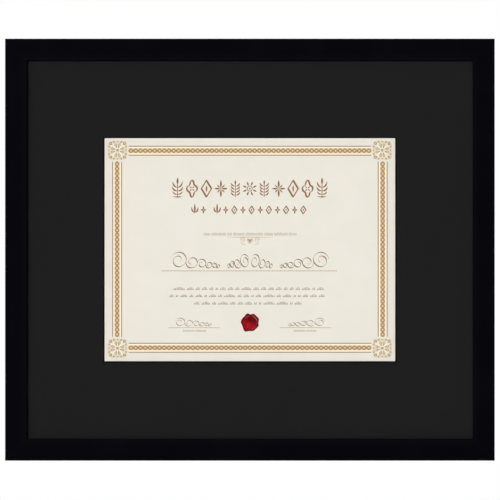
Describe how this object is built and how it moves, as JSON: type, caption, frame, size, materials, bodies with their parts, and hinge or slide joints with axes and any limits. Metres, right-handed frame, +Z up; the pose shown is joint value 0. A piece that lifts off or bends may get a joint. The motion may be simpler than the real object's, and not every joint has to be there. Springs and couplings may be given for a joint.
{
  "type": "certificate frame",
  "caption": "Wall-hung certificate frame: mitred black moulding, clear glazing, black bevelled mat round a landscape document, and a back held by turn buttons.",
  "frame": {"origin": "the middle notch of the upper sawtooth hanger, where the wall nail bears, at mid-thickness of its strip", "axes": "-Y out of the front of the frame and +Y into the wall, +X to the right as seen from the front, +Z up"},
  "size_m": [0.4596, 0.0228, 0.3961],
  "materials": {
    "black_moulding": "satin black paint, bare wood on the back",
    "clear_glazing": "clear, low reflection",
    "black_mat": "matte black board with a black core",
    "certificate_paper": "matte cream paper, printed",
    "brown_ink": "matte printing ink, tan to brown",
    "red_wax": "semi-gloss sealing wax",
    "paper_tape": "matte paper tape",
    "white_board": "matte white board",
    "foam_board": "white foam board",
    "back_fibreboard": "smooth brown fibreboard",
    "zinc_plated_steel": "zinc plated, satin",
    "screw_steel": "zinc plated, satin",
    "hanger_steel": "zinc plated, satin",
    "nail_steel": "bright steel",
    "bumper_rubber": "matte black rubber"
  },
  "bodies": {
    "root": {"back_board": "back_fibreboard", "bumper_bottom_left": "bumper_rubber", "bumper_bottom_right": "bumper_rubber", "bumper_top_left": "bumper_rubber", "bumper_top_right": "bumper_rubber", "button_screw_bottom_left": "screw_steel", "button_screw_bottom_right": "screw_steel", "button_screw_left_lower": "screw_steel", "button_screw_left_upper": "screw_steel", "button_screw_right_lower": "screw_steel", "button_screw_right_upper": "screw_steel", "button_screw_top_left": "screw_steel", "button_screw_top_right": "screw_steel", "certificate": "certificate_paper", "corner_nails_bottom_left": "nail_steel", "corner_nails_bottom_right": "nail_steel", "corner_nails_top_left": "nail_steel", "corner_nails_top_right": "nail_steel", "filler_board": "foam_board", "glazing": "clear_glazing", "hanger_landscape": "hanger_steel", "hanger_nails_landscape": "nail_steel", "hanger_nails_portrait": "nail_steel", "hanger_portrait": "hanger_steel", "hinge_tape_left": "paper_tape", "hinge_tape_right": "paper_tape", "mat_board": "black_mat", "mount_board": "white_board", "rail_bottom": "black_moulding", "rail_left": "black_moulding", "rail_right": "black_moulding", "rail_top": "black_moulding", "wax_seal": "red_wax"},
    "turn_button_bottom_left": {"turn_button_bottom_left": "zinc_plated_steel"},
    "turn_button_bottom_right": {"turn_button_bottom_right": "zinc_plated_steel"},
    "turn_button_left_lower": {"turn_button_left_lower": "zinc_plated_steel"},
    "turn_button_left_upper": {"turn_button_left_upper": "zinc_plated_steel"},
    "turn_button_right_lower": {"turn_button_right_lower": "zinc_plated_steel"},
    "turn_button_right_upper": {"turn_button_right_upper": "zinc_plated_steel"},
    "turn_button_top_left": {"turn_button_top_left": "zinc_plated_steel"},
    "turn_button_top_right": {"turn_button_top_right": "zinc_plated_steel"}
  },
  "joints": [
    {"name": "turn_bottom_left", "type": "hinge", "parent": "root", "child": "turn_button_bottom_left", "pos_m": [-0.12869, -0.002, -0.3799], "axis": [0, 1, 0], "continuous": true},
    {"name": "turn_bottom_right", "type": "hinge", "parent": "root", "child": "turn_button_bottom_right", "pos_m": [0.12869, -0.002, -0.3799], "axis": [0, 1, 0], "continuous": true},
    {"name": "turn_left_lower", "type": "hinge", "parent": "root", "child": "turn_button_left_lower", "pos_m": [-0.22325, -0.002, -0.29931], "axis": [0, 1, 0], "continuous": true},
    {"name": "turn_left_upper", "type": "hinge", "parent": "root", "child": "turn_button_left_upper", "pos_m": [-0.22325, -0.002, -0.07749], "axis": [0, 1, 0], "continuous": true},
    {"name": "turn_right_lower", "type": "hinge", "parent": "root", "child": "turn_button_right_lower", "pos_m": [0.22325, -0.002, -0.29931], "axis": [0, 1, 0], "continuous": true},
    {"name": "turn_right_upper", "type": "hinge", "parent": "root", "child": "turn_button_right_upper", "pos_m": [0.22325, -0.002, -0.07749], "axis": [0, 1, 0], "continuous": true},
    {"name": "turn_top_left", "type": "hinge", "parent": "root", "child": "turn_button_top_left", "pos_m": [-0.12869, -0.002, 0.0031], "axis": [0, 1, 0], "continuous": true},
    {"name": "turn_top_right", "type": "hinge", "parent": "root", "child": "turn_button_top_right", "pos_m": [0.12869, -0.002, 0.0031], "axis": [0, 1, 0], "continuous": true}
  ]
}
